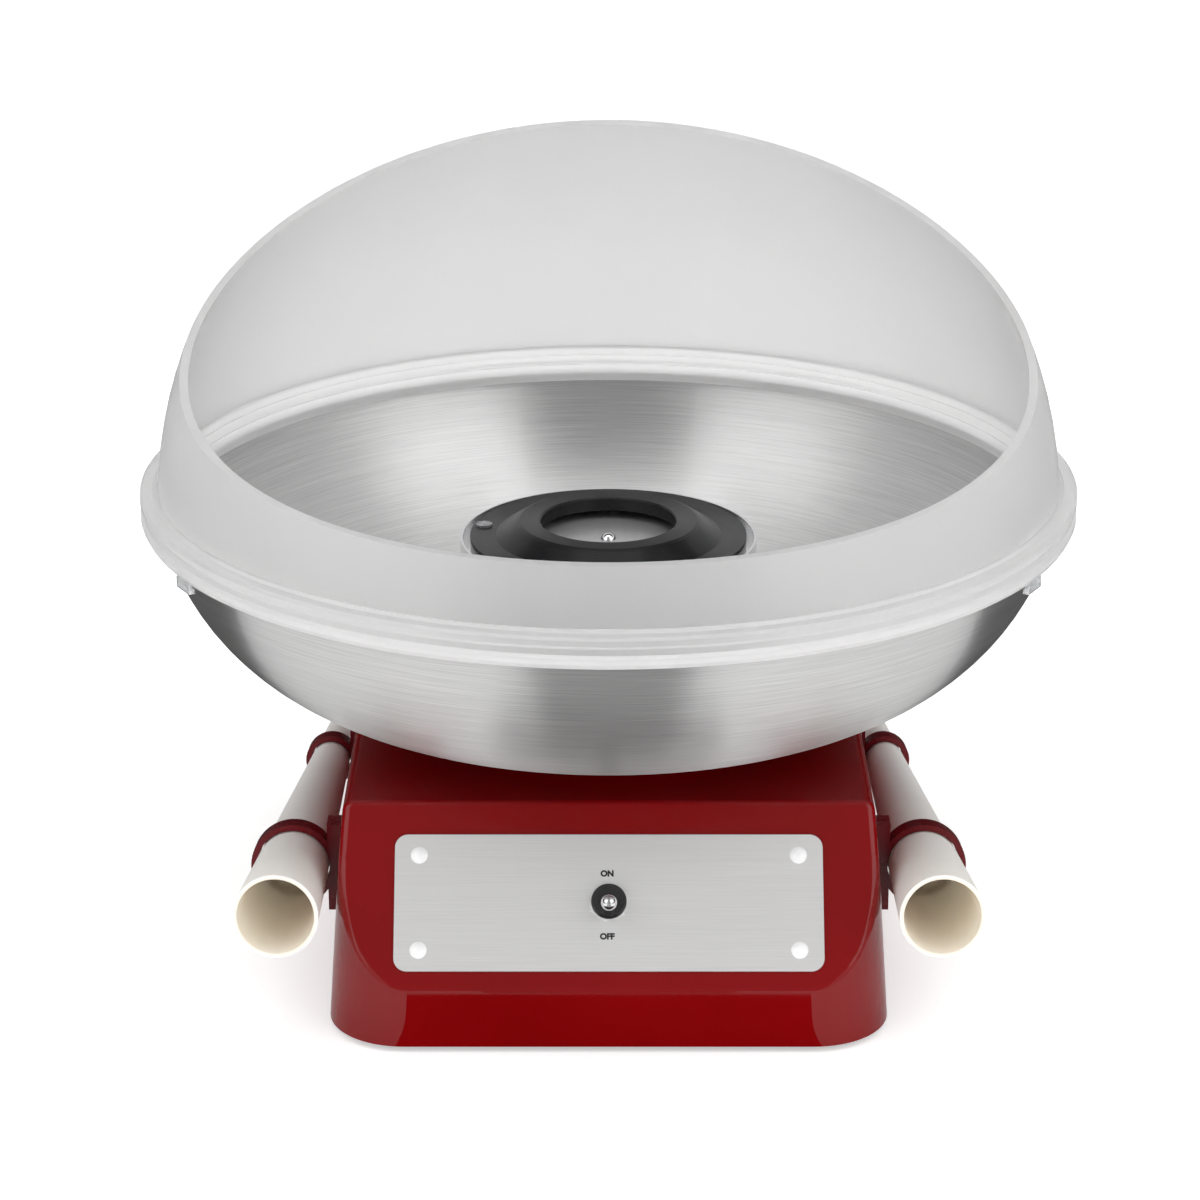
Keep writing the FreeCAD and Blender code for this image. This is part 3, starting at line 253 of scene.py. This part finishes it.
for name, look in metals.items():
    finish, tree, shader = newFinish(name, look["sockets"])
    rings = noise(tree, ringPoint(tree, look["line"], look["sweep"]), detail=3, rough=0.6)
    tree.links.new(shades(tree, rings, look["deep"], look["pale"]), shader.inputs["Base Color"])
    roughen(tree, shader, rings, *look["gloss"])
    emboss(tree, shader, rings, look["depth"])
    if "spread" in look:
        tangent = place(tree, "Tangent", direction_type="RADIAL", axis="Z")
        tree.links.new(tangent.outputs[0], shader.inputs["Tangent"])
        shader.inputs["Anisotropic Rotation"].default_value = look["spread"]
    paint(finish, *look["on"])
print("metals done")


# brushed control plate, its grain runs across
plateLook = {
    "pale": (0.76, 0.755, 0.75), "deep": (0.66, 0.655, 0.65),
    "cell": (0.03, 0.00016, 0.00016), "depth": 0.000006, "gloss": (0.34, 0.46), "metallic": 0.5,
    "bands": (0.28, 0.72),
}
finish, tree, shader = newFinish("plateSteel", {"Metallic": plateLook["metallic"]})
grain = noise(tree, objectPoint(tree, plateLook["cell"]), detail=4, rough=0.65)
bands = zip(plateLook["bands"], (plateLook["deep"], plateLook["pale"]))
tree.links.new(ramp(tree, grain, *bands), shader.inputs["Base Color"])
roughen(tree, shader, grain, *plateLook["gloss"])
emboss(tree, shader, grain, plateLook["depth"])
paint(finish, "control_plate")


# frosted shield and its clear clips
shieldLook = {
    "pale": (0.89, 0.885, 0.885), "deep": (0.86, 0.855, 0.855), "flange": (0.99, 0.985, 0.985),
    "flangeTop": (0.1472, 0.1482), "drift": 0.06, "skin": 0.0005, "depth": 0.00003,
    "gloss": (0.42, 0.52), "sockets": {"Transmission Weight": 0.74, "IOR": 1.49},
}
finish, tree, shader = newFinish("frostedShield", shieldLook["sockets"])
broad = noise(tree, objectPoint(tree, (shieldLook["drift"],) * 3), detail=2)
fine = noise(tree, objectPoint(tree, (shieldLook["skin"],) * 3), detail=2)
height = place(tree, "SeparateXYZ")
tree.links.new(objectPoint(tree), height.inputs[0])
flangeLow, flangeHigh = shieldLook["flangeTop"]
dome = place(tree, "MapRange", {"From Min": flangeLow, "From Max": flangeHigh})
tree.links.new(height.outputs["Z"], dome.inputs[0])
# the flange below the dome is painted near-white: partly the thicker frosted rim, partly painted light
# falling on it from above
mix = place(tree, "Mix", {mixSockets["first"]: (*shieldLook["flange"], 1)}, data_type="RGBA")
tree.links.new(dome.outputs[0], mix.inputs[mixSockets["factor"]])
wallShade = shades(tree, broad, shieldLook["deep"], shieldLook["pale"])
tree.links.new(wallShade, mix.inputs[mixSockets["second"]])
tree.links.new(mix.outputs[mixSockets["result"]], shader.inputs["Base Color"])
roughen(tree, shader, fine, *shieldLook["gloss"])
emboss(tree, shader, fine, shieldLook["depth"])
paint(finish, "shield")

clipLook = {"pale": (0.9, 0.91, 0.92), "deep": (0.82, 0.83, 0.84), "drift": 0.01, "gloss": (0.1, 0.2),
            "sockets": {"Transmission Weight": 0.8, "IOR": 1.49}}
finish, tree, shader = newFinish("clearClip", clipLook["sockets"])
broad = noise(tree, objectPoint(tree, (clipLook["drift"],) * 3), detail=2)
tree.links.new(shades(tree, broad, clipLook["deep"], clipLook["pale"]), shader.inputs["Base Color"])
roughen(tree, shader, broad, *clipLook["gloss"])
paint(finish, "shield_clips")


# ivory cones: pale outside; inside, a painted warm tan stands in for light scattered through the thin wall
# and bounced inside the cone; the two are told apart by how far a point lies from the cone's own line
coneLook = {
    "outside": (0.95, 0.91, 0.86), "outsideDeep": (0.92, 0.87, 0.81), "inside": (1.0, 0.9, 0.77),
    "insideDeep": (0.98, 0.87, 0.72), "drift": 0.03, "skin": 0.0007, "depth": 0.00002, "gloss": (0.36, 0.5),
    "mouth": (0.1, -0.115, 0.0451), "tilt": 7.18, "toe": 1.31, "mouthRadius": 0.013, "tailRadius": 0.0048,
    "length": 0.217, "wall": 0.0013, "split": 0.6, "blend": 0.0002,
    "sockets": {"Subsurface Weight": 0.5, "Subsurface Scale": 0.004, "Subsurface Radius": (1, 0.95, 0.85)},
}
look = coneLook
slope = (look["mouthRadius"] - look["tailRadius"]) / look["length"]
border = look["mouthRadius"] - look["wall"] * look["split"]
for side, node in ((1, "right_cone"), (-1, "left_cone")):
    finish, tree, shader = newFinish(node.replace("_cone", "Ivory"), look["sockets"])
    axis = Vector((side * sin(radians(look["toe"])), -1, tan(radians(look["tilt"]))))
    centre = Vector((side * look["mouth"][0], look["mouth"][1], look["mouth"][2]))
    turn = (-axis).to_track_quat("Z", "Y").to_euler()
    point = objectPoint(tree, centre=centre, turn=turn)
    parts = place(tree, "SeparateXYZ")
    tree.links.new(point, parts.inputs[0])
    flat = place(tree, "VectorMath", {1: (1, 1, 0)}, operation="MULTIPLY")
    tree.links.new(point, flat.inputs[0])
    radius = place(tree, "VectorMath", operation="LENGTH")
    tree.links.new(flat.outputs[0], radius.inputs[0])
    level = sums(tree, "MULTIPLY", parts.outputs["Z"], slope)
    depth = sums(tree, "ADD", radius.outputs["Value"], level)
    skin = place(tree, "MapRange", {"From Min": border - look["blend"], "From Max": border + look["blend"]})
    tree.links.new(depth, skin.inputs[0])
    broad = noise(tree, objectPoint(tree, (look["drift"],) * 3), detail=3)
    fine = noise(tree, objectPoint(tree, (look["skin"],) * 3), detail=2)
    outside = shades(tree, broad, look["outsideDeep"], look["outside"])
    # painted warm light: the tan inside colour stands in for light scattered through the wall and bounced
    # inside the cone
    inside = shades(tree, broad, look["insideDeep"], look["inside"])
    mix = place(tree, "Mix", data_type="RGBA")
    tree.links.new(skin.outputs[0], mix.inputs[mixSockets["factor"]])
    tree.links.new(inside, mix.inputs[mixSockets["first"]])
    tree.links.new(outside, mix.inputs[mixSockets["second"]])
    tree.links.new(mix.outputs[mixSockets["result"]], shader.inputs["Base Color"])
    roughen(tree, shader, fine, *look["gloss"])
    emboss(tree, shader, fine, look["depth"])
    paint(finish, node)
print("plate, shield and cones done")


# switch words, printed on the plate
words = {
    "tilt": 53.7, "across": -0.0005, "size": 0.0025, "thick": 0.00003, "swell": 0.00014, "lift": 0.0004,
    "rows": {"wordOn": ("ON", 0.0089), "wordOff": ("OFF", -0.0105)},
    "speck": 0.0002, "ink": (0.016, 0.016, 0.018), "inkDeep": (0.008, 0.008, 0.009), "roughness": 0.5,
}
inkFinish, tree, shader = newFinish("printInk", {"Roughness": words["roughness"]})
speck = noise(tree, objectPoint(tree, (words["speck"],) * 3), detail=2)
tree.links.new(shades(tree, speck, words["inkDeep"], words["ink"]), shader.inputs["Base Color"])
low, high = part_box("control_plate")
plateCentre = (low + high) / 2
plateTurn = Matrix.Rotation(radians(words["tilt"]), 4, "X")
for name, (letters, up) in words["rows"].items():
    curve = bpy.data.curves.new(name, "FONT")
    curve.body = letters
    curve.size = words["size"]
    curve.extrude = words["thick"]
    curve.offset = words["swell"]
    curve.align_x = "CENTER"
    curve.align_y = "CENTER"
    draft = bpy.data.objects.new(name + "Draft", curve)
    scene.collection.objects.link(draft)
    bpy.context.view_layer.update()
    settled = draft.evaluated_get(bpy.context.evaluated_depsgraph_get())
    mesh = bpy.data.meshes.new_from_object(settled)
    bpy.data.objects.remove(draft)
    onPlate = Matrix.Translation((words["across"], up, words["lift"]))
    mesh.transform(Matrix.Translation(plateCentre) @ plateTurn @ onPlate)
    mesh.materials.clear()
    mesh.materials.append(inkFinish)
    piece = bpy.data.objects.new(name, mesh)
    scene.collection.objects.link(piece)
    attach(piece, "base")
print("words done")


# floor: white to the eye, dim in gloss, and it still takes the shadow
floorLook = {"half": 5.0, "shade": 0.85, "glow": 0.42, "mirrored": 0.05}
shape = bmesh.new()
bmesh.ops.create_grid(shape, x_segments=1, y_segments=1, size=floorLook["half"])
mesh = bpy.data.meshes.new("floor")
shape.to_mesh(mesh)
shape.free()
floor = bpy.data.objects.new("floor", mesh)
scene.collection.objects.link(floor)
material = bpy.data.materials.new("paleFloor")
material.use_nodes = True
tree = material.node_tree
tree.nodes.remove(tree.nodes["Principled BSDF"])
paper = place(tree, "BsdfDiffuse", {"Color": (floorLook["shade"],) * 3 + (1,)})
glow = place(tree, "Emission", {"Color": (1, 1, 1, 1)})
path = place(tree, "LightPath")
seen = sums(tree, "MAXIMUM", path.outputs["Is Camera Ray"], path.outputs["Is Transmission Ray"])
seen = sums(tree, "MULTIPLY", seen, floorLook["glow"])
mirrored = sums(tree, "MULTIPLY", path.outputs["Is Glossy Ray"], floorLook["mirrored"])
tree.links.new(sums(tree, "MAXIMUM", seen, mirrored), glow.inputs["Strength"])
both = place(tree, "AddShader")
tree.links.new(paper.outputs[0], both.inputs[0])
tree.links.new(glow.outputs[0], both.inputs[1])
tree.links.new(both.outputs[0], tree.nodes["Material Output"].inputs["Surface"])
mesh.materials.append(material)


# dark cards that only reflections see: a painted shadow on the floor under the skirt, a dim card in the gap
# in front and one at the dark end of the room
cards = {
    # the first card is a painted shadow: a near-black patch where the base's contact shadow falls on the
    # floor, seen only in reflections
    "skirtShadowCard": {"shade": 0.02, "corners": [(-0.066, -0.111), (0.066, -0.111),
                                             (0.066, -0.17), (-0.066, -0.17)]},
    "gapCard": {"shade": 0.28, "corners": [(-0.04, -0.171), (0.04, -0.171), (0.62, -1.6), (-0.62, -1.6)]},
    "backCard": {"shade": 0.05, "corners": [(-3, 0.02), (-0.1, 0.02), (-0.1, 0.3), (0.1, 0.3), (0.1, 0.02),
                                            (3, 0.02), (3, 3), (-3, 3)]},
}
cardBoard = {"height": 0.0005, "roughness": 0.9}
for name, look in cards.items():
    shape = bmesh.new()
    shape.faces.new([shape.verts.new((x, y, cardBoard["height"])) for x, y in look["corners"]])
    mesh = bpy.data.meshes.new(name)
    shape.to_mesh(mesh)
    shape.free()
    sockets = {"Base Color": (look["shade"],) * 3 + (1,), "Roughness": cardBoard["roughness"]}
    material = newFinish(name + "Dark", sockets)[0]
    mesh.materials.append(material)
    card = bpy.data.objects.new(name, mesh)
    card.visible_camera = card.visible_diffuse = card.visible_transmission = card.visible_shadow = False
    scene.collection.objects.link(card)


# world: white behind the object, soft fill on it, and a dim room with lit sides in its gloss
room = {
    "white": 1.0, "fill": 0.68, "front": 0.33, "above": 0.6, "sides": 0.8, "edge": 0.25, "behind": 0.05,
    "acrossStops": (0.3, 0.4, 0.75, 0.92), "aboveStops": (0.85, 0.95), "facingStops": (0.35, 0.6),
}
world = bpy.data.worlds.new("room")
scene.world = world
world.use_nodes = True
tree = world.node_tree
back = tree.nodes["Background"]
back.inputs["Color"].default_value = (1, 1, 1, 1)
path = place(tree, "LightPath")
coord = place(tree, "TexCoord")
parts = place(tree, "SeparateXYZ")
tree.links.new(coord.outputs["Generated"], parts.inputs[0])
across = sums(tree, "ABSOLUTE", parts.outputs["X"], 0)
acrossShades = [(room[part],) * 3 for part in ("front", "sides", "sides", "edge")]
sides = ramp(tree, across, *zip(room["acrossStops"], acrossShades))
above = ramp(tree, parts.outputs["Z"], *zip(room["aboveStops"], ((0,) * 3, (room["above"],) * 3)))
sides = sums(tree, "MAXIMUM", sides, above)
front = sums(tree, "ADD", sums(tree, "MULTIPLY", parts.outputs["Y"], -0.5), 0.5)  # 1 in front, 0 behind
facing = ramp(tree, front, *zip(room["facingStops"], ((room["behind"],) * 3, (1,) * 3)))
gloss = sums(tree, "MULTIPLY", sums(tree, "MULTIPLY", sides, facing), path.outputs["Is Glossy Ray"])
fill = sums(tree, "MULTIPLY", sums(tree, "SUBTRACT", 1, path.outputs["Is Glossy Ray"]), room["fill"])
hidden = sums(tree, "ADD", gloss, fill)
seen = sums(tree, "MAXIMUM", path.outputs["Is Camera Ray"], path.outputs["Is Transmission Ray"])
bare = sums(tree, "MULTIPLY", sums(tree, "SUBTRACT", 1, seen), hidden)
total = sums(tree, "ADD", bare, sums(tree, "MULTIPLY", seen, room["white"]))
tree.links.new(total, back.inputs["Strength"])


# three softboxes above, and three low ones that gloss doesn't mirror
lamps = {
    "aim": (0, 0, 0.12),
    "boxes": {
        "leftSoftbox": {"spot": (-1.15, -0.75, 1.2), "size": (1.5, 1.5), "power": 5.8, "mirrored": True},
        "rightSoftbox": {"spot": (1.15, -0.75, 1.2), "size": (1.5, 1.5), "power": 7, "mirrored": True},
        "topSoftbox": {"spot": (0, -0.1, 1.7), "size": (1.2, 0.7), "power": 7, "mirrored": True},
        "frontLowbox": {"spot": (0, -1.4, 0.22), "size": (1.4, 0.3), "power": 4.5, "mirrored": False},
        "leftLowbox": {"spot": (-1.0, -0.25, 0.2), "size": (0.8, 0.4), "power": 0.9, "mirrored": False},
        "rightLowbox": {"spot": (1.0, -0.25, 0.2), "size": (0.8, 0.4), "power": 1.1, "mirrored": False},
    },
}
for name, box in lamps["boxes"].items():
    data = bpy.data.lights.new(name, "AREA")
    data.shape = "RECTANGLE"
    data.size, data.size_y = box["size"]
    data.energy = box["power"]
    lamp = bpy.data.objects.new(name, data)
    lamp.location = box["spot"]
    lamp.visible_glossy = box["mirrored"]
    lamp.rotation_euler = (Vector(lamps["aim"]) - Vector(box["spot"])).to_track_quat("-Z", "Y").to_euler()
    scene.collection.objects.link(lamp)
print("stage and lamps done")
